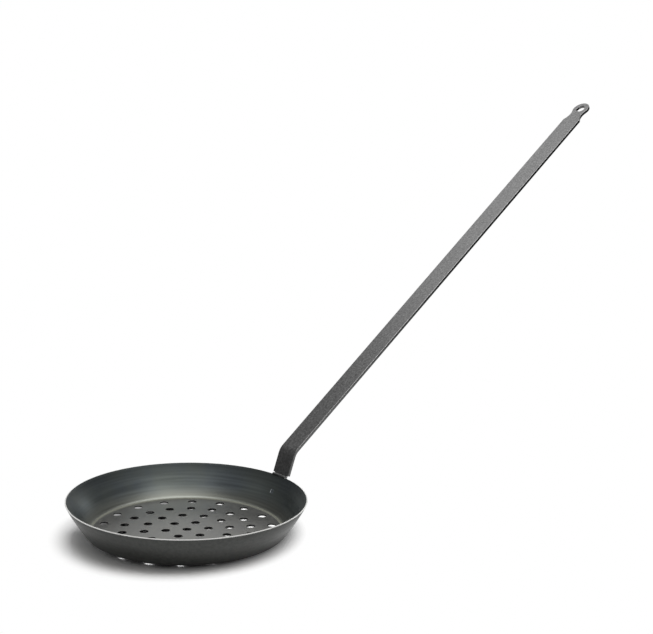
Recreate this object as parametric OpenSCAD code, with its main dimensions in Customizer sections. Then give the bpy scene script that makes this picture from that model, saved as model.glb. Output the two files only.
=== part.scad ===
// Long-handled roasting pan: perforated steel pan with a flat-bar handle welded to its wall.
// The origin is the centre of the floor's underside, the handle points along +X and Z is up.

/* [Pan] */
// Diameter over the rim
rim_d = 280; // [240:1:320]
// Height from the underside to the top of the rim
pan_h = 40; // [32:1:55]
// Slope of the wall, from the floor
wall_a = 57.5; // [50:0.5:64]
// Thickness of the steel sheet
sheet_t = 1.5; // [1:0.1:2.5]
// Outer radius of the corner between floor and wall
corner_r = 9; // [5:0.5:12]

/* [Perforation] */
// Diameter of each hole in the floor
hole_d = 10; // [6:0.5:14]
// Width of plain floor between the outermost holes and the corner
floor_margin = 5; // [3:0.5:12]
// Holes in the first ring around the middle
ring_1_count = 6; // [4:1:10]
// Holes in the second ring
ring_2_count = 12; // [6:1:20]
// Holes in the third ring
ring_3_count = 18; // [8:1:30]
// Holes in the outermost ring
ring_4_count = 18; // [8:1:40]
// Angle of the first hole of each ring, from the handle
ring_phase = 30; // [0:1:60]

/* [Handle bar] */
// Width of the flat bar
bar_w = 28; // [26:1:36]
// Thickness of the flat bar
bar_t = 4; // [3:0.5:6]
// Width of the narrowed tongue on the wall
tongue_w = 20; // [14:1:22]
// Length of bare wall between the tongue's lower end and the corner
foot_margin = 7.5; // [5:0.5:12]
// Radius of the tongue's lower corners
foot_corner_r = 4; // [2:0.5:6]
// Radius of the hollow corner between the tongue and each shoulder above it
shoulder_r = 1.5; // [0.5:0.5:2]
// Slope of the short riser above the rim
riser_a = 70; // [66:1:80]
// Straight length of the riser
riser_len = 26; // [15:0.5:50]
// Slope of the long straight run
run_a = 37.1; // [20:0.1:50]
// Length of the run, from the upper bend to the centre of the eye
run_len = 672.5; // [300:0.5:800]
// Inside radius of the bend at the rim
rim_bend_r = 6; // [4:0.5:12]
// Inside radius of the upper bend
upper_bend_r = 15; // [8:0.5:30]

/* [Hanging eye] */
// Outer diameter of the eye
eye_d = 25; // [22:0.5:28]
// Diameter of the hole in the eye
eye_hole_d = 12; // [6:0.5:14]
// Width of the neck behind the eye
neck_w = 20; // [14:0.5:21]
// Radius of the hollow flanks of the neck
flank_r = 20; // [12:1:40]

/* [Welds] */
// Gap between the wall and the flat tongue, which the welds bridge
seat_gap = 0.2; // [0.1:0.1:0.6]
// Radius of the bead along the rim
rim_bead_r = 2; // [1.5:0.1:3]
// Height of the bead's centre line above the rim's cut edge
rim_bead_rise = 0.4; // [0:0.1:1]
// Length of the rim's bead past each side of the tongue
rim_bead_lap = 2; // [0:0.5:3]
// Radius of the bead under the tongue
foot_bead_r = 3; // [2:0.1:3.8]
// Diameter of the spot weld in the wall
spot_d = 7; // [4:0.5:10]
// Distance of the spot weld's centre above the tongue's lower end
spot_up = 13; // [8:0.5:18]
// Height of the spot weld above the inside of the wall
spot_rise = 0.3; // [0.1:0.1:0.8]

/* [Hidden] */
$fn = 96;
// Facets of a full turn for the beads, which cover only a short arc of it
bead_fn = 720;
// Flats that make up each bend of the bar
bend_steps = 24;
// Room left around cutting shapes
over = 5;

blued_steel = "#6b7076";
bar_steel = "#7d7d7d";
weld_metal = "#8d8d8b";

// Outer corner of the cut rim, and where the wall's outer line meets the underside
rim_r = rim_d / 2;
rim_z = pan_h - sheet_t * cos(wall_a);
crease_r = rim_r - rim_z / tan(wall_a);

// Centre of the corner's arcs, inside and outside of the sheet
corner_len = corner_r * tan(wall_a / 2);
arc_x = crease_r - corner_len;
inner_corner_r = corner_r - sheet_t;

// The rings share the flat floor out evenly
ring_counts = [ring_1_count, ring_2_count, ring_3_count, ring_4_count];
ring_step = (arc_x - floor_margin - hole_d / 2) / len(ring_counts);

// The tongue takes up the straight part of the wall, and the spot weld lies on it
foot_len = rim_z / sin(wall_a) - corner_len - foot_margin;
spot_drop = foot_len - spot_up;

// The neck's flanks are arcs that leave the bar's edges and run into the eye without a corner
neck_to_eye = sqrt(pow(eye_d / 2 + flank_r, 2) - pow(neck_w / 2 + flank_r, 2));
neck_x = run_len - neck_to_eye;
flank_end_x = neck_x + neck_to_eye * flank_r / (flank_r + eye_d / 2);

// Slopes of the riser and the run as seen from the wall
rim_turn = riser_a - wall_a;
run_turn = run_a - wall_a;

// Centres of the two bends and the radius of the bar's upper face there, in the wall's frame
upper_face_r = upper_bend_r + bar_t;
rim_bend_c = [0, rim_bend_r];
riser_start = rim_bend_c + rim_bend_r * [sin(rim_turn), -cos(rim_turn)];
riser_end = riser_start + riser_len * [cos(rim_turn), sin(rim_turn)];
upper_bend_c = riser_end + upper_face_r * [sin(rim_turn), -cos(rim_turn)];
run_start = upper_bend_c + upper_face_r * [-sin(run_turn), cos(run_turn)];
run_end = run_start + (run_len + eye_d) * [cos(run_turn), sin(run_turn)];

// Area under one side of the sheet, seen in section, with a round corner
module under_sheet(floor_z, round_r, wall_shift, top_up) {
    foot_x = arc_x + round_r * sin(wall_a);
    foot_z = corner_r - round_r * cos(wall_a);
    top_x = rim_r - wall_shift * sin(wall_a) + top_up * cos(wall_a);
    top_z = rim_z + wall_shift * cos(wall_a) + top_up * sin(wall_a);
    inner_x = rim_r - sheet_t * sin(wall_a);
    polygon([
        [0, floor_z],
        [arc_x, floor_z],
        [foot_x, foot_z],
        [top_x, top_z],
        [min(inner_x, top_x), max(pan_h, top_z)],
        [0, max(pan_h, top_z)]
    ]);
    translate([arc_x, corner_r])
        circle(r = round_r);
}

// Section of the sheet, with the rim cut square to the wall
module sheet_section() {
    difference() {
        under_sheet(0, corner_r, 0, 0);
        under_sheet(sheet_t, inner_corner_r, sheet_t, over);
    }
}

// The pan before its holes are punched
module pan_shell() {
    rotate_extrude()
        sheet_section();
}

// Rings of holes around a hole in the middle
module floor_holes() {
    translate([0, 0, -over])
        linear_extrude(sheet_t + 2 * over) {
            circle(d = hole_d);
            for (ring = [0 : len(ring_counts) - 1])
                for (k = [0 : ring_counts[ring] - 1])
                    rotate(ring_phase + 360 / ring_counts[ring] * k)
                        translate([ring_step * (ring + 1), 0])
                            circle(d = hole_d);
        }
}

// Frame on the outside of the wall under the handle: X runs up the wall, Z into the pan
module on_wall() {
    translate([rim_r, 0, rim_z])
        rotate([0, -wall_a, 0])
            children();
}

// The same frame on the tongue's upper face, then at the start of the riser and of the run
module on_tongue() {
    on_wall()
        translate([0, 0, -seat_gap])
            children();
}

module on_riser() {
    on_tongue()
        translate([riser_start[0], 0, riser_start[1]])
            rotate([0, -rim_turn, 0])
                children();
}

module on_run() {
    on_tongue()
        translate([run_start[0], 0, run_start[1]])
            rotate([0, -run_turn, 0])
                children();
}

// Prism through the bar's thickness, for cutting its plan shape
module through_bar() {
    translate([0, 0, -bar_t - over])
        linear_extrude(bar_t + 2 * over)
            children();
}

// Point on a circle, and the points along an arc from one angle to another
function on_circle(centre, r, a) = centre + r * [cos(a), sin(a)];

function arc(centre, r, from, to) =
    [for (k = [0 : bend_steps]) on_circle(centre, r, from + (to - from) * k / bend_steps)];

// Side view of a face of the bar, at a depth below the upper face, from the foot to past the eye
function face_line(depth) = concat(
    [[-foot_len, -depth]],
    arc(rim_bend_c, rim_bend_r + depth, -90, rim_turn - 90),
    arc(upper_bend_c, upper_face_r - depth, rim_turn + 90, run_turn + 90),
    [run_end + depth * [sin(run_turn), -cos(run_turn)]]
);

// Bar of full width, bent to shape, longer than the eye
module bent_bar() {
    lower_face = face_line(bar_t);
    on_tongue()
        rotate([90, 0, 0])
            linear_extrude(bar_w, center = true)
                polygon(concat(face_line(0), [for (k = [len(lower_face) - 1 : -1 : 0]) lower_face[k]]));
}

// What is cut off on both sides of the tongue, over a length that ends at the origin
module beside_tongue(length) {
    for (side = [-1, 1])
        translate([-length, side * (tongue_w + bar_w) / 2 - bar_w / 2])
            square([length, bar_w]);
}

// What is cut off to narrow the tongue and to round its lower corners
module tongue_surround() {
    beside_tongue(foot_len + over);
    for (side = [-1, 1])
        mirror([0, side < 0 ? 1 : 0])
            difference() {
                translate([-foot_len - over, tongue_w / 2 - foot_corner_r])
                    square(foot_corner_r + over);
                translate([-foot_len + foot_corner_r, tongue_w / 2 - foot_corner_r])
                    circle(r = foot_corner_r);
            }
}

// What is cut off at the bend below the riser, up to the square shoulders
module shoulder_surround() {
    beside_tongue(rim_bend_r + bar_t);
    for (side = [-1, 1])
        mirror([0, side < 0 ? 1 : 0])
            translate([0, tongue_w / 2 + shoulder_r]) {
                circle(r = shoulder_r);
                translate([-shoulder_r, 0])
                    square([2 * shoulder_r, bar_w]);
            }
}

// What is cut off to shape the neck and the eye
module eye_surround() {
    for (side = [-1, 1])
        translate([neck_x, side * (neck_w / 2 + flank_r)])
            circle(r = flank_r);
    translate([run_len, 0])
        circle(d = eye_hole_d);
    difference() {
        translate([flank_end_x, -bar_w])
            square([run_len - flank_end_x + eye_d + over, 2 * bar_w]);
        translate([run_len, 0])
            circle(d = eye_d);
    }
}

module bar_solid() {
    difference() {
        bent_bar();
        on_tongue()
            through_bar()
                tongue_surround();
        on_riser()
            through_bar()
                shoulder_surround();
        on_run()
            through_bar()
                eye_surround();
    }
}

// Bead laid around the pan, centred on a point of the wall's frame, as wide as given
module bead(along, inward, r, width) {
    bead_x = rim_r + along * cos(wall_a) - inward * sin(wall_a);
    bead_z = rim_z + along * sin(wall_a) + inward * cos(wall_a);
    half_a = asin(width / 2 / bead_x);
    rotate(-half_a)
        rotate_extrude(angle = 2 * half_a, $fn = bead_fn)
            difference() {
                translate([bead_x, bead_z])
                    circle(r = r);
                children();
            }
}

module spot_blank(start, end) {
    on_wall()
        translate([-spot_drop, 0, start])
            cylinder(d = spot_d, h = end - start);
}

module pan_body() {
    color(blued_steel)
        difference() {
            pan_shell();
            floor_holes();
            spot_blank(-over, sheet_t + over);
        }
}

module handle_bar() {
    color(bar_steel)
        bar_solid();
}

module rim_weld() {
    color(weld_metal)
        difference() {
            bead(rim_bead_rise, sheet_t / 2, rim_bead_r, tongue_w + 2 * rim_bead_lap)
                sheet_section();
            bar_solid();
        }
}

module spot_weld() {
    color(weld_metal)
        spot_blank(-seat_gap, sheet_t + spot_rise);
}

module foot_weld() {
    color(weld_metal)
        difference() {
            bead(-foot_len, -seat_gap, foot_bead_r, tongue_w - 2 * foot_corner_r)
                under_sheet(0, corner_r, 0, over);
            bar_solid();
        }
}

pan_body();
handle_bar();
rim_weld();
spot_weld();
foot_weld();
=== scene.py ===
from math import acos, asin, cos, pi, radians, sin, sqrt, tan

import bmesh
import bpy
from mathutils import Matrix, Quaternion, Vector


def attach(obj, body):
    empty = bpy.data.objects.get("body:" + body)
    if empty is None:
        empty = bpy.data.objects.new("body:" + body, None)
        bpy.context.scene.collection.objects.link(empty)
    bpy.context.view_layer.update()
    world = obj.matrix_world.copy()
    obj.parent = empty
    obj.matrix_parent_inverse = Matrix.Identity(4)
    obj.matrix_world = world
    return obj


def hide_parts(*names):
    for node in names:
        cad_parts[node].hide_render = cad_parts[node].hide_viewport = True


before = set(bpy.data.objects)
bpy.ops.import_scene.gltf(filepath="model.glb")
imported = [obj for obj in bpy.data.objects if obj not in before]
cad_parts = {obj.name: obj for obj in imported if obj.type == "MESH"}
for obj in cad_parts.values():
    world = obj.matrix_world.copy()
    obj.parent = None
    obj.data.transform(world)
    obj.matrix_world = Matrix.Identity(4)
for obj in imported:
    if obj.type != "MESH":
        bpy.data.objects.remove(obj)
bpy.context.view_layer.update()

# Sizes of the roaster in metres, the same as those of the CAD model

MM = 0.001
RIM_R = 140 * MM
PAN_H = 40 * MM
WALL_A = radians(57.5)
SHEET_T = 1.5 * MM
CORNER_R = 9 * MM
HOLE_R = 5 * MM
FLOOR_MARGIN = 5 * MM
RING_COUNTS = (6, 12, 18, 18)
RING_PHASE = radians(30)

BAR_W = 28 * MM
BAR_T = 4 * MM
TONGUE_W = 20 * MM
FOOT_MARGIN = 7.5 * MM
FOOT_CORNER_R = 4 * MM
SHOULDER_R = 1.5 * MM
RISER_A = radians(70)
RISER_LEN = 26 * MM
RUN_A = radians(37.1)
RUN_LEN = 672.5 * MM
RIM_BEND_R = 6 * MM
UPPER_BEND_R = 15 * MM
EYE_R = 12.5 * MM
EYE_HOLE_R = 6 * MM
NECK_W = 20 * MM
FLANK_R = 20 * MM
SEAT_GAP = 0.2 * MM

RIM_BEAD_R = 2 * MM
RIM_BEAD_RISE = 0.4 * MM
RIM_BEAD_LAP = 2 * MM
FOOT_BEAD_R = 3 * MM
SPOT_R = 3.5 * MM
SPOT_UP = 13 * MM
SPOT_RISE = 0.3 * MM

# Places that follow from the sizes

RIM_Z = PAN_H - SHEET_T * cos(WALL_A)
CORNER_LEN = CORNER_R * tan(WALL_A / 2)
FLAT_R = RIM_R - RIM_Z / tan(WALL_A) - CORNER_LEN
RING_STEP = (FLAT_R - FLOOR_MARGIN - HOLE_R) / len(RING_COUNTS)
WALL_LEN = RIM_Z / sin(WALL_A) - CORNER_LEN
FOOT_LEN = WALL_LEN - FOOT_MARGIN
UP_WALL = Vector((cos(WALL_A), 0, sin(WALL_A)))
INTO_PAN = Vector((-sin(WALL_A), 0, cos(WALL_A)))
RIM_OUTER = Vector((RIM_R, 0, RIM_Z))
ACROSS = Vector((0, 1, 0))

# Modelling helpers

# How much more a large face counts than a small one where the shading is smoothed
LARGE_FACE_WEIGHT = 80


def deselect():
    """Leaves edit mode and takes everything out of the selection."""
    if bpy.context.object and bpy.context.object.mode != "OBJECT":
        bpy.ops.object.mode_set(mode="OBJECT")
    bpy.ops.object.select_all(action="DESELECT")


def take(piece):
    """Selects this piece alone."""
    deselect()
    piece.select_set(True)
    bpy.context.view_layer.objects.active = piece


def begin(name):
    """Names the primitive just added, puts its place into its mesh and opens it for editing."""
    piece = bpy.context.object
    piece.name = piece.data.name = name
    bpy.ops.object.transform_apply(location=True, rotation=True, scale=True)
    bpy.ops.object.mode_set(mode="EDIT")
    return piece


def pick(kind, test):
    """Selects, in edit mode, the edges or faces whose every corner passes a test of its place."""
    bpy.ops.mesh.select_all(action="DESELECT")
    bpy.ops.mesh.select_mode(type={"edges": "EDGE", "faces": "FACE"}[kind])
    shape = bmesh.from_edit_mesh(bpy.context.object.data)
    for element in getattr(shape, kind):
        element.select_set(all(test(corner.co) for corner in element.verts))
    shape.select_flush_mode()
    bmesh.update_edit_mesh(bpy.context.object.data)


def face_out():
    """Makes the normals of the piece in edit mode agree, and point outwards where it is closed."""
    pick("faces", lambda co: True)
    bpy.ops.mesh.normals_make_consistent(inside=False)


def face_up(piece):
    """Makes an open sheet's normals agree, with those of its flat floor pointing up."""
    face_out()
    shape = bmesh.from_edit_mesh(piece.data)
    if sum(face.normal.z * face.calc_area() for face in shape.faces) < 0:
        bpy.ops.mesh.flip_normals()


def modify(piece, kind, **settings):
    """Adds a modifier to the piece and applies it."""
    take(piece)
    modifier = piece.modifiers.new(kind.lower(), kind)
    for key, value in settings.items():
        setattr(modifier, key, value)
    bpy.ops.object.modifier_apply(modifier=modifier.name)


def finish_piece(piece, material, slot, *nodes):
    """Smooths the piece, gives it its material and lets it stand for its CAD nodes."""
    take(piece)
    bpy.ops.object.shade_smooth()
    modify(piece, "WEIGHTED_NORMAL", mode="FACE_AREA", weight=LARGE_FACE_WEIGHT)
    piece.data.materials.clear()
    piece.data.materials.append(material)
    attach(piece, "root")
    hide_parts(*nodes)


# Material helpers

# Nearly all of a noise pattern lies between these values
NOISE_LOW, NOISE_HIGH = 0.3, 0.7


def srgb(code):
    """Linear colour of an sRGB hex value."""
    parts = [int(code[k:k + 2], 16) / 255 for k in (1, 3, 5)]
    return tuple(p / 12.92 if p <= 0.04045 else ((p + 0.055) / 1.055) ** 2.4 for p in parts) + (1.0,)


def add(tree, kind, sockets=None, out=0, stops=(), **settings):
    """Adds a node and gives back one of its outputs. A socket takes a value or the output that it is
    linked to, and a ramp takes its stops, each a position and a colour."""
    node = tree.nodes.new(kind)
    for key, value in settings.items():
        setattr(node, key, value)
    for key, value in (sockets or {}).items():
        if isinstance(value, bpy.types.NodeSocket):
            tree.links.new(value, node.inputs[key])
        else:
            node.inputs[key].default_value = value
    for k, (position, code) in enumerate(stops):
        node.color_ramp.elements[k].position = position
        node.color_ramp.elements[k].color = srgb(code)
    return node.outputs[out] if node.outputs else None


def new_material(name):
    """A material with no nodes yet, and its node tree."""
    material = bpy.data.materials.new(name)
    material.use_nodes = True
    material.node_tree.nodes.clear()
    return material, material.node_tree


# Finish of the pan

# Sizes of the patterns
STREAK_GAP = 4 * MM
STREAK_LEN = 108 * MM
CLOUD_W = 38.5 * MM
MOTTLE_W = 3.85 * MM
GROOVE_DEPTH = 0.05 * MM
GROOVE_STRENGTH = 0.1

# Radii and heights at which the finish changes
FLOOR_FINISH_R = FLAT_R - 1 * MM
WALL_FINISH_R = FLAT_R + 2 * MM
# Around this radius the corner is paled by a painted highlight
CORNER_HIGHLIGHT_R = FLAT_R + 1.5 * MM
CORNER_HIGHLIGHT_CORE = 0.5 * MM
CORNER_HIGHLIGHT_EDGE = 2.3 * MM
# Under this height, below the floor and in its holes, the sheet is near-black: partly the dark underside,
# partly painted shade in the holes
DARK_HOLE_Z = SHEET_T - 0.04 * MM
FLOOR_CENTRE_R = 20 * MM
FLOOR_EDGE_R = 105 * MM

# Distances along the wall, below zero under the rim, at which it changes
CUT_RISE = -0.2 * MM
FOOT_RISE, FOOT_END_RISE = -41 * MM, -27 * MM
TOP_START_RISE, TOP_RISE = -22 * MM, -4 * MM
SKIN_FOOT_RISE, SKIN_TOP_RISE = -34 * MM, -2 * MM

# How far a face has to look away from the axis to count as the outside
OUTSIDE_FACING = 0.3

# Shares by which the colour is darker or paler: the streaks, and painted light and shade
STREAK_SHADE = 0.1
TOP_PAINTED_SHADE = 0.44
FLOOR_EDGE_PAINTED_SHADE = 0.27
SKIN_PAINTED_LIGHT_AND_SHADE = 0.12

# Roughness, and what is added to it where the finish is duller
SATIN_LOW, SATIN_HIGH = 0.29, 0.35
DULL_LOW, DULL_HIGH = 0.40, 0.48
CORNER_DULLER = 0.48
FOOT_DULLER = 0.12
TOP_DULLER = 0.2
BELOW_DULLER = 0.3
CUT_DULLER = 0.5


def blued_steel_sheet():
    """Blued steel sheet, pressed and spun: a dark oxide skin with a satin sheen and soft streaks around the
    axis, a painted highlight paling the corner, painted shade at the top of the wall and the floor's edge,
    painted light and shade up the outside, duller and finely mottled on the floor, matt black below and
    in the punched holes, there partly the dark underside and partly painted shade, bare at the cut rim."""
    material, tree = new_material("blued_steel_sheet")
    place = add(tree, "ShaderNodeTexCoord", out="Object")
    level = add(tree, "ShaderNodeVectorMath", {0: place, 1: (1, 1, 0)}, operation="MULTIPLY")
    radius = add(tree, "ShaderNodeVectorMath", {0: level}, "Value", operation="LENGTH")
    turn = add(tree, "ShaderNodeVectorMath", {0: level}, operation="NORMALIZE")
    height = add(tree, "ShaderNodeSeparateXYZ", {"Vector": place}, "Z")
    rise = add(tree, "ShaderNodeMath", {0: height, 1: sin(WALL_A), 2: -RIM_OUTER.dot(UP_WALL)},
               operation="MULTIPLY_ADD")
    rise = add(tree, "ShaderNodeMath", {0: radius, 1: cos(WALL_A), 2: rise}, operation="MULTIPLY_ADD")

    # Streaks left by spinning
    path = add(tree, "ShaderNodeMath", {0: radius, 1: height}, operation="ADD")
    across = add(tree, "ShaderNodeMath", {0: path, 1: 1 / STREAK_GAP}, operation="MULTIPLY")
    across = add(tree, "ShaderNodeCombineXYZ", {"Z": across})
    around = RIM_R / STREAK_LEN
    streak = add(tree, "ShaderNodeVectorMath", {0: turn, 1: (around, around, 0), 2: across},
                 operation="MULTIPLY_ADD")
    streaks = add(tree, "ShaderNodeTexNoise", {
        "Vector": streak, "Scale": 1.0, "Detail": 1.0, "Roughness": 0.5})

    # Clouds and fine mottling in the oxide
    clouds = add(tree, "ShaderNodeTexNoise", {
        "Vector": place, "Scale": 1 / CLOUD_W, "Detail": 3.0, "Roughness": 0.5})
    mottling = add(tree, "ShaderNodeTexNoise", {
        "Vector": place, "Scale": 1 / MOTTLE_W, "Detail": 3.0, "Roughness": 0.6})

    # Where the floor, its underside with the holes, the corner with its painted highlight, the outside and
    # the cut rim are
    floor = add(tree, "ShaderNodeMapRange", {
        "Value": radius, "From Min": FLOOR_FINISH_R, "From Max": WALL_FINISH_R,
        "To Min": 1.0, "To Max": 0.0}, interpolation_type="SMOOTHSTEP")
    below = add(tree, "ShaderNodeMath", {0: height, 1: DARK_HOLE_Z}, operation="LESS_THAN")
    below = add(tree, "ShaderNodeMath", {0: below, 1: floor}, operation="MULTIPLY")
    off = add(tree, "ShaderNodeMath", {0: radius, 1: CORNER_HIGHLIGHT_R}, operation="SUBTRACT")
    off = add(tree, "ShaderNodeMath", {0: off}, operation="ABSOLUTE")
    corner = add(tree, "ShaderNodeMapRange", {
        "Value": off, "From Min": CORNER_HIGHLIGHT_CORE, "From Max": CORNER_HIGHLIGHT_EDGE,
        "To Min": 1.0, "To Max": 0.0})
    facing = add(tree, "ShaderNodeNewGeometry", out="Normal")
    facing = add(tree, "ShaderNodeVectorMath", {0: facing, 1: turn}, "Value", operation="DOT_PRODUCT")
    outside = add(tree, "ShaderNodeMapRange", {
        "Value": facing, "From Min": 0.0, "From Max": OUTSIDE_FACING})
    cut = add(tree, "ShaderNodeMath", {0: rise, 1: CUT_RISE}, operation="GREATER_THAN")

    # Where the foot and the top of the wall are
    foot = add(tree, "ShaderNodeMapRange", {
        "Value": rise, "From Min": FOOT_RISE, "From Max": FOOT_END_RISE, "To Min": 1.0, "To Max": 0.0})
    top = add(tree, "ShaderNodeMapRange", {"Value": rise, "From Min": TOP_START_RISE, "From Max": TOP_RISE})

    # Colour of the wall: blue-grey, greyer at its foot, streaked, painted shade at the top, painted
    # highlight in the corner
    tint = add(tree, "ShaderNodeValToRGB", {"Fac": clouds},
               stops=((0.35, "#676e72"), (0.65, "#6c7270")))
    tint = add(tree, "ShaderNodeMixRGB", {"Fac": foot, "Color1": tint, "Color2": srgb("#6a6c67")})
    streaky = add(tree, "ShaderNodeMapRange", {
        "Value": streaks, "From Min": NOISE_LOW, "From Max": NOISE_HIGH,
        "To Min": 1 - STREAK_SHADE, "To Max": 1 + STREAK_SHADE})
    # Painted shade darkens the top of the wall
    painted_top_shade = add(tree, "ShaderNodeMath", {0: top, 1: -TOP_PAINTED_SHADE, 2: 1.0}, operation="MULTIPLY_ADD")
    streaky = add(tree, "ShaderNodeMath", {0: streaky, 1: painted_top_shade}, operation="MULTIPLY")
    wall = add(tree, "ShaderNodeVectorMath", {0: tint, "Scale": streaky}, operation="SCALE")
    # The pale corner colour is a painted highlight
    wall = add(tree, "ShaderNodeMixRGB", {"Fac": corner, "Color1": wall, "Color2": srgb("#86877d")})

    # Colour of the floor: mottled grey, with painted shade darker towards its edge
    speckle = add(tree, "ShaderNodeValToRGB", {"Fac": mottling},
                  stops=((0.35, "#717170"), (0.65, "#7b7b77")))
    # Painted shade darkens the floor towards the wall
    painted_edge_shade = add(tree, "ShaderNodeMapRange", {
        "Value": radius, "From Min": FLOOR_CENTRE_R, "From Max": FLOOR_EDGE_R,
        "To Min": 1.0, "To Max": 1 - FLOOR_EDGE_PAINTED_SHADE})
    ground = add(tree, "ShaderNodeVectorMath", {0: speckle, "Scale": painted_edge_shade}, operation="SCALE")

    # Colour of the outside: dark mottled skin, painted light at its foot and painted shade at the rim
    skin = add(tree, "ShaderNodeValToRGB", {"Fac": mottling},
               stops=((0.3, "#4a4b4a"), (0.7, "#565755")))
    # Painted light at the foot and painted shade at the rim of the outside
    painted_skin_light_and_shade = add(tree, "ShaderNodeMapRange", {
        "Value": rise, "From Min": SKIN_FOOT_RISE, "From Max": SKIN_TOP_RISE,
        "To Min": 1 + SKIN_PAINTED_LIGHT_AND_SHADE, "To Max": 1 - SKIN_PAINTED_LIGHT_AND_SHADE})
    skin = add(tree, "ShaderNodeVectorMath", {0: skin, "Scale": painted_skin_light_and_shade}, operation="SCALE")

    # Each finish lies over the ones before it
    colour = wall
    # The near-black below is the dark underside and, in the punched holes, painted shade
    for part, own in ((floor, ground), (outside, skin), (below, srgb("#2c2c2c")), (cut, srgb("#e3e3e2"))):
        colour = add(tree, "ShaderNodeMixRGB", {"Fac": part, "Color1": colour, "Color2": own})

    # Sheen: satin on the wall, duller elsewhere
    satin = add(tree, "ShaderNodeMapRange", {
        "Value": streaks, "From Min": NOISE_LOW, "From Max": NOISE_HIGH,
        "To Min": SATIN_LOW, "To Max": SATIN_HIGH})
    for part, duller in ((corner, CORNER_DULLER), (foot, FOOT_DULLER), (top, TOP_DULLER)):
        satin = add(tree, "ShaderNodeMath", {0: part, 1: duller, 2: satin}, operation="MULTIPLY_ADD")
    dull = add(tree, "ShaderNodeMapRange", {
        "Value": mottling, "From Min": NOISE_LOW, "From Max": NOISE_HIGH,
        "To Min": DULL_LOW, "To Max": DULL_HIGH})
    rough = add(tree, "ShaderNodeMix", {0: floor, 2: satin, 3: dull})
    for part, duller in ((below, BELOW_DULLER), (cut, CUT_DULLER)):
        rough = add(tree, "ShaderNodeMath", {0: part, 1: duller, 2: rough}, operation="MULTIPLY_ADD")

    grooves = add(tree, "ShaderNodeBump", {
        "Strength": GROOVE_STRENGTH, "Distance": GROOVE_DEPTH, "Height": streaks})
    shader = add(tree, "ShaderNodeBsdfPrincipled", {
        "Base Color": colour, "Metallic": 1.0, "Roughness": rough, "Normal": grooves})
    add(tree, "ShaderNodeOutputMaterial", {"Surface": shader})
    return material


# Finish of the handle

# The real grain is too fine to show at the size of the photograph, so it is drawn a few millimetres wide
GRAIN_W = 2.6 * MM
PIT_DEPTH = 0.02 * MM
PIT_STRENGTH = 0.1
BAR_SATIN_LOW, BAR_SATIN_HIGH = 0.34, 0.40

# A face that looks less along the broad face's normal than the first is a narrow side of the bar, and one
# that looks more along it than the second is not
NARROW_FACING, BROAD_FACING = 0.25, 0.5
# The narrow sides are darkened by painted shade
NARROW_PAINTED_SHADE = 0.8


def rolled_bar_steel():
    """Hot-rolled flat bar, grey: a satin scale with a fine grain, with painted shade a little darker on the
    narrow sides.
    """
    material, tree = new_material("rolled_bar_steel")
    place = add(tree, "ShaderNodeTexCoord", out="Object")
    grain = add(tree, "ShaderNodeTexNoise", {"Vector": place, "Scale": 1 / GRAIN_W, "Detail": 2.0})
    tint = add(tree, "ShaderNodeValToRGB", {"Fac": grain},
               stops=((0.3, "#656565"), (0.7, "#7f7f7f")))
    facing = add(tree, "ShaderNodeNewGeometry", out="Normal")
    facing = add(tree, "ShaderNodeVectorMath", {0: facing, 1: heading(RUN_A)[1]}, "Value",
                 operation="DOT_PRODUCT")
    facing = add(tree, "ShaderNodeMath", {0: facing}, operation="ABSOLUTE")
    shade = add(tree, "ShaderNodeMapRange", {
        "Value": facing, "From Min": NARROW_FACING, "From Max": BROAD_FACING,
        "To Min": NARROW_PAINTED_SHADE, "To Max": 1.0})
    colour = add(tree, "ShaderNodeVectorMath", {0: tint, "Scale": shade}, operation="SCALE")
    rough = add(tree, "ShaderNodeMapRange", {
        "Value": grain, "From Min": NOISE_LOW, "From Max": NOISE_HIGH,
        "To Min": BAR_SATIN_LOW, "To Max": BAR_SATIN_HIGH})
    pits = add(tree, "ShaderNodeBump", {"Strength": PIT_STRENGTH, "Distance": PIT_DEPTH, "Height": grain})
    shader = add(tree, "ShaderNodeBsdfPrincipled", {
        "Base Color": colour, "Metallic": 1.0, "Roughness": rough, "Normal": pits})
    add(tree, "ShaderNodeOutputMaterial", {"Surface": shader})
    return material


# Finish of the welds

WELD_CLOUD_W = 1.65 * MM
WELD_SHADE = 0.2
WELD_SATIN_SPREAD = 0.04
# Place, width and dullness of the painted glint on the spot weld
GLINT_Y = 2.2 * MM
GLINT_W = 0.8 * MM
GLINT_DULLER = 0.4


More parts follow.
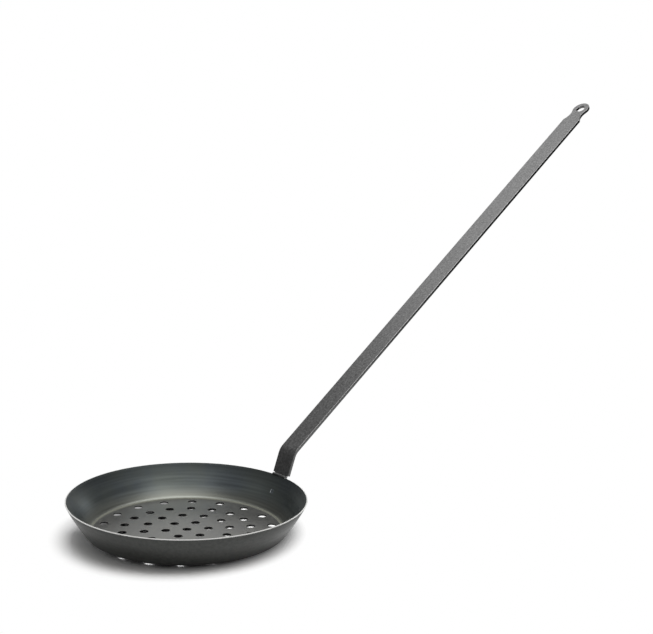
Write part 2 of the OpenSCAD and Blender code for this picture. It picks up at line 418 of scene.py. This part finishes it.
def weld_steel(name, code, dull, glint_painted):
    """Weld metal: steel frozen from the melt, its thin scale clouded over a millimetre or two; on the spot
    weld a narrow pale band is a painted glint."""
    material, tree = new_material(name)
    place = add(tree, "ShaderNodeTexCoord", out="Object")
    scale = add(tree, "ShaderNodeTexNoise", {"Vector": place, "Scale": 1 / WELD_CLOUD_W, "Detail": 2.0})
    shade = add(tree, "ShaderNodeMapRange", {
        "Value": scale, "From Min": NOISE_LOW, "From Max": NOISE_HIGH,
        "To Min": 1 - WELD_SHADE, "To Max": 1 + WELD_SHADE})
    colour = add(tree, "ShaderNodeVectorMath", {0: srgb(code)[:3], "Scale": shade}, operation="SCALE")
    rough = add(tree, "ShaderNodeMapRange", {
        "Value": scale, "From Min": NOISE_LOW, "From Max": NOISE_HIGH,
        "To Min": dull - WELD_SATIN_SPREAD, "To Max": dull + WELD_SATIN_SPREAD})
    # A narrow pale band across the spot weld is a painted glint
    if glint_painted:
        off = add(tree, "ShaderNodeSeparateXYZ", {"Vector": place}, "Y")
        off = add(tree, "ShaderNodeMath", {0: off, 1: GLINT_Y}, operation="SUBTRACT")
        off = add(tree, "ShaderNodeMath", {0: off}, operation="ABSOLUTE")
        painted_glint = add(tree, "ShaderNodeMapRange", {
            "Value": off, "From Min": GLINT_W / 4, "From Max": GLINT_W, "To Min": 1.0, "To Max": 0.0})
        colour = add(tree, "ShaderNodeMixRGB", {"Fac": painted_glint, "Color1": colour, "Color2": srgb("#c4c8cb")})
        rough = add(tree, "ShaderNodeMath", {0: painted_glint, 1: GLINT_DULLER, 2: rough},
                    operation="MULTIPLY_ADD")
    shader = add(tree, "ShaderNodeBsdfPrincipled", {
        "Base Color": colour, "Metallic": 1.0, "Roughness": rough})
    add(tree, "ShaderNodeOutputMaterial", {"Surface": shader})
    return material


# Pan

PAN_STEPS = 192
HOLE_STEPS = 32
CORNER_STEPS = 8
WALL_STEPS = 16
WALL_BOW = 0.9 * MM
WALL_EASE_A = radians(3.5)
SHEET_EDGE_R = 0.3 * MM
SHEET_EDGE_STEPS = 3
SHEET_EDGE_A = radians(50)
FLOOR_RIM_REACH = 0.1 * MM


def wall_bow(t):
    """How far the wall bulges at a share of its length: evenly, and more where it leaves the corner."""
    return WALL_BOW * 4 * t * (1 - t) + WALL_LEN * WALL_EASE_A * t * (1 - t) ** 5


def inside_line():
    """Radius and height of the rings of the pan's inside, from the edge of the floor to the rim."""
    inner_r = CORNER_R - SHEET_T
    corner_a = WALL_A - 4 * WALL_BOW / WALL_LEN - WALL_EASE_A
    rings = []
    for k in range(1, CORNER_STEPS + 1):
        a = corner_a * k / CORNER_STEPS
        rings.append((FLAT_R + inner_r * sin(a), CORNER_R - inner_r * cos(a)))
    foot_r, foot_z = rings[-1]
    top_r, top_z = RIM_R - SHEET_T * sin(WALL_A), PAN_H
    for k in range(1, WALL_STEPS + 1):
        t = k / WALL_STEPS
        bow = wall_bow(t)
        ring_r = foot_r + (top_r - foot_r) * t + bow * sin(WALL_A)
        ring_z = foot_z + (top_z - foot_z) * t - bow * cos(WALL_A)
        rings.append((ring_r, ring_z))
    return rings


def make_pan(material):
    """The pan: a floor with its holes, drawn up into corner and wall and made as thick as the sheet."""
    deselect()
    bpy.ops.mesh.primitive_circle_add(vertices=PAN_STEPS, radius=FLAT_R, location=(0, 0, SHEET_T))
    pan = begin("pan")
    bpy.ops.mesh.primitive_circle_add(vertices=HOLE_STEPS, radius=HOLE_R, location=(0, 0, SHEET_T))
    for ring, count in enumerate(RING_COUNTS):
        for k in range(count):
            a = RING_PHASE + 2 * pi * k / count
            ring_r = RING_STEP * (ring + 1)
            bpy.ops.mesh.primitive_circle_add(
                vertices=HOLE_STEPS, radius=HOLE_R, location=(ring_r * cos(a), ring_r * sin(a), SHEET_T))
    bpy.ops.mesh.select_all(action="SELECT")
    bpy.ops.mesh.fill(use_beauty=True)
    pick("edges", lambda co: co.xy.length > FLAT_R - FLOOR_RIM_REACH)
    ring_r, ring_z = FLAT_R, SHEET_T
    for next_r, next_z in inside_line():
        bpy.ops.mesh.extrude_edges_move(TRANSFORM_OT_translate={"value": (0, 0, next_z - ring_z)})
        grow = next_r / ring_r
        bpy.ops.transform.resize(value=(grow, grow, 1), center_override=(0, 0, 0))
        ring_r, ring_z = next_r, next_z
    face_up(pan)
    modify(pan, "SOLIDIFY", thickness=SHEET_T, offset=-1, use_even_offset=True)
    modify(pan, "BEVEL", width=SHEET_EDGE_R, segments=SHEET_EDGE_STEPS, limit_method="ANGLE",
           angle_limit=SHEET_EDGE_A)
    finish_piece(pan, material, "pan_steel", "pan_body")


make_pan(blued_steel_sheet())

# Handle

RIM_BEND_STEPS = 4
UPPER_BEND_STEPS = 10
ARC_STEPS = 10
EYE_HOLE_STEPS = 48
TIP_A = radians(86)
SHOULDER_STEP = 0.1 * MM
FOOT_REACH = 0.01 * MM
SAME_PLANE_A = radians(0.5)
BAR_EDGE_R = 0.7 * MM
BAR_EDGE_STEPS = 4
BAR_EDGE_A = radians(35)


def heading(slope):
    """Direction along the bar where it rises at this slope, and the direction its upper face looks."""
    return Vector((cos(slope), 0, sin(slope))), Vector((-sin(slope), 0, cos(slope)))


def drive(step, half_w):
    """Extrudes the selected end of the bar by a step and sets its half width."""
    shape = bmesh.from_edit_mesh(bpy.context.object.data)
    was = max(abs(v.co.y) for v in shape.verts if v.select)
    bpy.ops.mesh.extrude_region_move(TRANSFORM_OT_translate={"value": step})
    bpy.ops.transform.resize(value=(1, half_w / was, 1), center_override=(0, 0, 0))


def eye_outline():
    """Distance along the run and half width of the bar's outline, from the neck to the tip of the eye."""
    flank_y = NECK_W / 2 + FLANK_R
    neck_x = RUN_LEN - sqrt((EYE_R + FLANK_R) ** 2 - flank_y ** 2)
    start_a = -acos((flank_y - BAR_W / 2) / FLANK_R)
    meet_a = asin((RUN_LEN - neck_x) / (EYE_R + FLANK_R))
    outline = []
    for k in range(2 * ARC_STEPS + 1):
        a = start_a + (meet_a - start_a) * k / (2 * ARC_STEPS)
        outline.append((neck_x + FLANK_R * sin(a), flank_y - FLANK_R * cos(a)))
    for k in range(1, 3 * ARC_STEPS + 1):
        a = -meet_a + (TIP_A + meet_a) * k / (3 * ARC_STEPS)
        outline.append((RUN_LEN + EYE_R * sin(a), EYE_R * cos(a)))
    return outline


def make_handle(material):
    """The bar, drawn from the foot of its tongue over the riser and the bend to the tip of its eye."""
    deselect()
    along, face = heading(WALL_A)
    seat = RIM_OUTER - SEAT_GAP * face
    foot = seat - FOOT_LEN * along
    bpy.ops.mesh.primitive_plane_add(
        size=1, location=foot - face * BAR_T / 2, rotation=(0, pi / 2 - WALL_A, 0))
    bpy.context.object.scale = (BAR_T, TONGUE_W, 1)
    handle = begin("handle")
    bpy.ops.mesh.extrude_region_move(TRANSFORM_OT_translate={"value": along * FOOT_LEN})
    bpy.ops.mesh.spin(
        steps=RIM_BEND_STEPS, angle=RISER_A - WALL_A, center=seat + face * RIM_BEND_R, axis=ACROSS)

    # Shoulders and riser
    along, face = heading(RISER_A)
    risen = 0
    for k in range(1, ARC_STEPS + 1):
        a = pi / 2 * k / ARC_STEPS
        drive(along * (SHOULDER_R * sin(a) - risen), TONGUE_W / 2 + SHOULDER_R * (1 - cos(a)))
        risen = SHOULDER_R * sin(a)
    drive(along * SHOULDER_STEP, BAR_W / 2)
    drive(along * (RISER_LEN - SHOULDER_R - SHOULDER_STEP), BAR_W / 2)
    riser_start = seat + RIM_BEND_R * (heading(WALL_A)[1] - face)
    upper_bend = riser_start + along * RISER_LEN - face * (UPPER_BEND_R + BAR_T)
    bpy.ops.mesh.spin(steps=UPPER_BEND_STEPS, angle=RUN_A - RISER_A, center=upper_bend, axis=ACROSS)

    # Run and eye
    along, face = heading(RUN_A)
    run_start = upper_bend + face * (UPPER_BEND_R + BAR_T)
    run = 0
    for distance, half_w in eye_outline():
        drive(along * (distance - run), half_w)
        run = distance

    # Round corners of the foot, the hole in the eye and broken edges
    up_wall = heading(WALL_A)[0]
    for side in (-1, 1):
        pick("edges", lambda co: abs((co - foot).dot(up_wall)) < FOOT_REACH and co.y * side > 0)
        bpy.ops.mesh.bevel(offset=FOOT_CORNER_R, segments=ARC_STEPS, affect="EDGES")
    face_out()
    bpy.ops.mesh.dissolve_limited(angle_limit=SAME_PLANE_A)
    eye = run_start + along * RUN_LEN - face * BAR_T / 2
    deselect()
    bpy.ops.mesh.primitive_cylinder_add(
        vertices=EYE_HOLE_STEPS, radius=EYE_HOLE_R, depth=3 * BAR_T, location=eye, rotation=(0, -RUN_A, 0))
    punch = bpy.context.object
    modify(handle, "BOOLEAN", operation="DIFFERENCE", object=punch, solver="EXACT")
    bpy.data.objects.remove(punch)
    modify(handle, "BEVEL", width=BAR_EDGE_R, segments=BAR_EDGE_STEPS, limit_method="ANGLE",
           angle_limit=BAR_EDGE_A)
    finish_piece(handle, material, "bar_steel", "handle_bar")


make_handle(rolled_bar_steel())

# Welds

BEAD_SIDES = 20
RIPPLE = 2.4 * MM
RIPPLE_RINGS = 5
RIPPLE_DEPTH = 0.12

# Just under 1, so that a bead ends in a small flat and not in a point
BEAD_END = 0.97

SPOT_STEPS = 48

# Shares of the spot's radius and of its rise, from its edge over the raised ring into the crater
SPOT_PROFILE = ((1, 1), (0.94, 1.25), (0.84, 1.4), (0.7, 1.45), (0.5, 1.3), (0.2, 1.2))


def make_bead(name, node, up, inward, r, width, material):
    """A bead laid around the pan at a place on the wall, frozen in ripples and rounded off at both ends."""
    centre = RIM_OUTER + up * UP_WALL + inward * INTO_PAN
    half_a = asin(width / 2 / centre.x)
    rings = round(width / RIPPLE) * RIPPLE_RINGS
    deselect()
    bpy.ops.mesh.primitive_circle_add(
        vertices=BEAD_SIDES, radius=r, fill_type="NGON", location=centre, rotation=(pi / 2, 0, 0))
    bead = begin(name)
    bpy.ops.transform.rotate(value=half_a, orient_axis="Z", center_override=(0, 0, 0))
    was = 1
    for k in range(rings + 1):
        if k:
            bpy.ops.mesh.extrude_region_move()
            bpy.ops.transform.rotate(value=-2 * half_a / rings, orient_axis="Z", center_override=(0, 0, 0))
        a = half_a * (2 * k / rings - 1)
        left = (half_a - abs(a)) * centre.x / r
        rounding = sqrt(1 - (1 - min(left, 1)) ** 2 * BEAD_END)
        size = rounding * (1 - RIPPLE_DEPTH * (k % RIPPLE_RINGS) / RIPPLE_RINGS)
        bpy.ops.transform.resize(
            value=(size / was,) * 3, center_override=(centre.x * cos(a), centre.x * sin(a), centre.z))
        was = size
    face_out()
    if inward < 0:
        bpy.ops.mesh.bisect(
            plane_co=RIM_OUTER + INTO_PAN * SHEET_T / 2, plane_no=INTO_PAN, use_fill=True, clear_outer=True)
    finish_piece(bead, material, "weld_metal", node)


def make_spot(material):
    """The spot weld: a low raised ring with a shallow crater, on the inside of the wall."""
    down = FOOT_LEN - SPOT_UP
    t = 1 - down / WALL_LEN
    centre = RIM_OUTER - down * UP_WALL + (SHEET_T - SPOT_RISE - wall_bow(t)) * INTO_PAN
    deselect()
    bpy.ops.mesh.primitive_circle_add(
        vertices=SPOT_STEPS, radius=SPOT_R, fill_type="NGON", location=centre, rotation=(0, -WALL_A, 0))
    spot = begin("spot_weld_mark")
    was_r, was_up = SPOT_R, 0
    for share, rise in SPOT_PROFILE:
        bpy.ops.mesh.extrude_region_move(
            TRANSFORM_OT_translate={"value": INTO_PAN * SPOT_RISE * (rise - was_up)})
        grow = share * SPOT_R / was_r
        bpy.ops.transform.resize(value=(grow,) * 3, center_override=centre + INTO_PAN * SPOT_RISE * rise)
        was_r, was_up = share * SPOT_R, rise
    face_out()
    finish_piece(spot, material, "weld_metal", "spot_weld")


# The beads are bare and grey, the spot is blued with the wall
bead_steel = weld_steel("bare_bead_steel", "#5b5b5b", dull=0.58, glint_painted=False)
spot_steel = weld_steel("blued_spot_steel", "#70777b", dull=0.34, glint_painted=True)
make_bead("rim_bead", "rim_weld", up=RIM_BEAD_RISE, inward=SHEET_T / 2, r=RIM_BEAD_R,
          width=TONGUE_W + 2 * RIM_BEAD_LAP, material=bead_steel)
make_bead("foot_bead", "foot_weld", up=-FOOT_LEN, inward=-SEAT_GAP, r=FOOT_BEAD_R,
          width=TONGUE_W - 2 * FOOT_CORNER_R, material=bead_steel)
make_spot(spot_steel)

# Camera at the photograph's place

CAMERA_PLACE = (-0.9188, -1.2482, 0.5575)
LOOK = Vector((0.65897, 0.72752, -0.19097))
ROLL = radians(1.31)
SENSOR_W = 36.0
LENS = 76.53
CLIP_END = 50

deselect()
bpy.ops.object.camera_add(location=CAMERA_PLACE)
camera = bpy.context.object
camera.name = "camera"
camera.rotation_euler = (LOOK.to_track_quat("-Z", "Y") @ Quaternion((0, 0, 1), ROLL)).to_euler()
camera.data.sensor_width = SENSOR_W
camera.data.lens = LENS
camera.data.clip_end = CLIP_END
bpy.context.scene.camera = camera
bpy.context.scene.view_settings.view_transform = "Standard"

# Stage: a pale floor that is white away from the pan, a white surround and soft light from above

# The floor slopes a little, so that it lies off the pan's base on one side as in the photograph
FLOOR_SIZE = 2.0
FLOOR_TILT = radians(1.25)
FLOOR_TURN = radians(-20)

# Around the pan the floor takes its shadow, further out it is plain white
SHADOW_CENTRE = (-10 * MM, 8 * MM, 0)
SHADOW_R = 102.5 * MM
SHADOW_END_R = 152.5 * MM
SHADOW_FADE = 3.0

# Behind the pan the floor is painted paler, painted light that makes the shadow fainter there
BEHIND_Y = 82 * MM
BEHIND_END_Y = 110 * MM
BEHIND_PAINTED_LIGHT = 0.34

# Strength of the surround at the horizon and overhead, and where overhead begins
HORIZON_STRENGTH = 0.01
OVERHEAD_STRENGTH = 0.25
OVERHEAD_Z = 0.5

# The steel also mirrors a white backdrop, which ends at the horizon and lies behind the part as the camera
# looks at it; the last two say how nearly a direction is the camera's
BACKDROP_TOP_A = radians(0)
BACKDROP_FADE_A = radians(4)
BACKDROP_SIDE, BACKDROP_MIDDLE = 0.4, 0.7


def shown(tree):
    """1 for a ray that shows the surround to the eye: straight, mirrored in metal or through glass."""
    straight = add(tree, "ShaderNodeLightPath", out="Is Camera Ray")
    mirrored = add(tree, "ShaderNodeLightPath", out="Is Glossy Ray")
    through = add(tree, "ShaderNodeLightPath", out="Is Transmission Ray")
    seen = add(tree, "ShaderNodeMath", {0: straight, 1: mirrored}, operation="MAXIMUM")
    return add(tree, "ShaderNodeMath", {0: seen, 1: through}, operation="MAXIMUM")


def pale_paper():
    """White paper, matt: it takes the pan's shadow, fades to plain white around it and behind the pan glows
    with painted light.
    """
    material, tree = new_material("pale_floor")
    place = add(tree, "ShaderNodeTexCoord", out="Object")
    away = add(tree, "ShaderNodeVectorMath", {0: place, 1: SHADOW_CENTRE}, "Value", operation="DISTANCE")
    clear = add(tree, "ShaderNodeMapRange", {"Value": away, "From Min": SHADOW_R, "From Max": SHADOW_END_R})
    clear = add(tree, "ShaderNodeMath", {0: clear, 1: SHADOW_FADE}, operation="POWER")
    side = add(tree, "ShaderNodeSeparateXYZ", {"Vector": place}, "Y")
    # Painted light: the floor behind the pan is paler
    behind = add(tree, "ShaderNodeMapRange", {
        "Value": side, "From Min": BEHIND_Y, "From Max": BEHIND_END_Y,
        "To Min": 0.0, "To Max": BEHIND_PAINTED_LIGHT})
    clear = add(tree, "ShaderNodeMath", {0: clear, 1: behind}, operation="MAXIMUM")
    white = add(tree, "ShaderNodeMath", {0: shown(tree), 1: clear}, operation="MULTIPLY")
    paper = add(tree, "ShaderNodeBsdfDiffuse", {"Color": srgb("#fafafa")})
    glow = add(tree, "ShaderNodeEmission", {"Color": srgb("#ffffff"), "Strength": 1.0})
    blend = add(tree, "ShaderNodeMixShader", {0: white, 1: paper, 2: glow})
    add(tree, "ShaderNodeOutputMaterial", {"Surface": blend})
    return material


def white_surround():
    """A world that is white to the camera, and to the part dim but for the backdrop and overhead."""
    world = bpy.data.worlds.new("surround")
    world.use_nodes = True
    tree = world.node_tree
    tree.nodes.clear()
    way = add(tree, "ShaderNodeTexCoord", out="Generated")
    up = add(tree, "ShaderNodeSeparateXYZ", {"Vector": way}, "Z")
    level = add(tree, "ShaderNodeMapRange", {
        "Value": up, "From Min": 0.0, "From Max": OVERHEAD_Z,
        "To Min": HORIZON_STRENGTH, "To Max": OVERHEAD_STRENGTH})
    backdrop = add(tree, "ShaderNodeMapRange", {
        "Value": up, "From Min": sin(BACKDROP_TOP_A), "From Max": sin(BACKDROP_FADE_A),
        "To Min": 1.0, "To Max": 0.0})
    ahead = add(tree, "ShaderNodeVectorMath", {0: way, 1: LOOK}, "Value", operation="DOT_PRODUCT")
    behind = add(tree, "ShaderNodeMapRange", {
        "Value": ahead, "From Min": BACKDROP_SIDE, "From Max": BACKDROP_MIDDLE})
    backdrop = add(tree, "ShaderNodeMath", {0: backdrop, 1: behind}, operation="MULTIPLY")
    white = add(tree, "ShaderNodeMath", {0: shown(tree), 1: backdrop}, operation="MULTIPLY")
    straight = add(tree, "ShaderNodeLightPath", out="Is Camera Ray")
    white = add(tree, "ShaderNodeMath", {0: white, 1: straight}, operation="MAXIMUM")
    dim = add(tree, "ShaderNodeBackground", {"Color": srgb("#ffffff"), "Strength": level})
    bright = add(tree, "ShaderNodeBackground", {"Color": srgb("#ffffff"), "Strength": 1.0})
    blend = add(tree, "ShaderNodeMixShader", {0: white, 1: dim, 2: bright})
    add(tree, "ShaderNodeOutputWorld", {"Surface": blend})
    return world


def softbox(name, place, target, size, power, colour="#ffffff"):
    """A rectangular soft light that faces a point and isn't seen itself."""
    deselect()
    bpy.ops.object.light_add(type="AREA", location=place)
    lamp = bpy.context.object
    lamp.name = name
    lamp.rotation_euler = (Vector(target) - Vector(place)).to_track_quat("-Z", "Y").to_euler()
    lamp.data.shape = "RECTANGLE"
    lamp.data.size, lamp.data.size_y = size
    lamp.data.energy = power
    lamp.data.color = srgb(colour)[:3]
    lamp.visible_camera = False


deselect()
bpy.ops.mesh.primitive_plane_add(size=FLOOR_SIZE)
floor = bpy.context.object
floor.name = "floor"
floor.rotation_euler = (0, -FLOOR_TILT, FLOOR_TURN)
floor.location = (0, 0, -FLAT_R * tan(FLOOR_TILT))
bpy.ops.object.transform_apply(location=True, rotation=True, scale=True)
floor.data.materials.append(pale_paper())

bpy.context.scene.world = white_surround()

softbox("overhead_light", place=(0.18, -0.17, 1.8), target=(0.05, -0.05, 0), size=(1.5, 1.5), power=36.0)
softbox("handle_panel", place=(0.84, 1.26, 1.76), target=(0.45, 0.0, 0.25), size=(1.2, 0.8), power=3.6)
softbox("front_panel", place=(-0.36, -0.75, 1.75), target=(0.05, 0.08, 0.0), size=(1.9, 0.45), power=3.6,
        colour="#fffaee")
softbox("left_panel", place=(-1.53, 0.71, 0.65), target=(0.1, 0.0, 0.1), size=(1.0, 0.8), power=0.7)
softbox("backdrop_panel", place=(1.22, 1.26, 0.5), target=(0.0, 0.0, 0.1), size=(3.0, 0.8), power=9.0)
